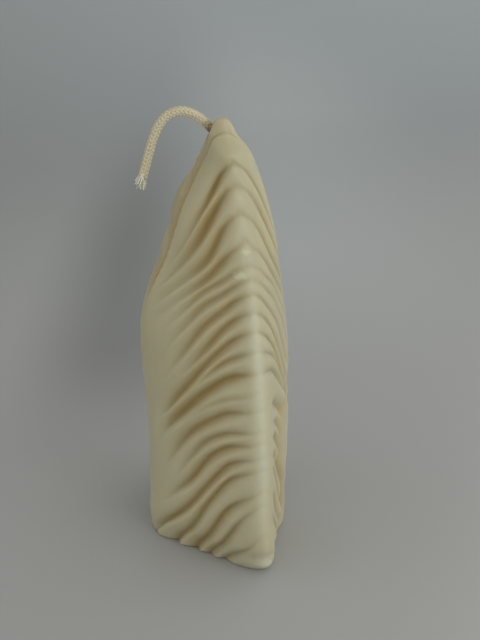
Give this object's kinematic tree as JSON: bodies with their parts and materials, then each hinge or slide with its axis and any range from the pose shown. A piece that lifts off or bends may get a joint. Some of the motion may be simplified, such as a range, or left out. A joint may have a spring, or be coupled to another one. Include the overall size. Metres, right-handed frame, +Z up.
{
  "type": "pillar candle",
  "caption": "Leaf-shaped pillar candle: a ribbed wax block that narrows to a small knob, with a braided wick that arches over to one side.",
  "frame": {"origin": "on the table under the middle of the wax block's box", "axes": "+Z up along the candle; -Y out of the front margin, which the picture looks along from its left; +X towards the right keel"},
  "size_m": [0.0526, 0.0802, 0.1525],
  "materials": {
    "wax": "pale cream-yellow translucent cast wax with a soft satin sheen",
    "wick": "square-braided cotton, coated with wax, frayed at its cut end"
  },
  "bodies": {
    "root": {"wax_body": "wax", "wick_core": "wick", "wick_tail": "wick"}
  },
  "joints": []
}
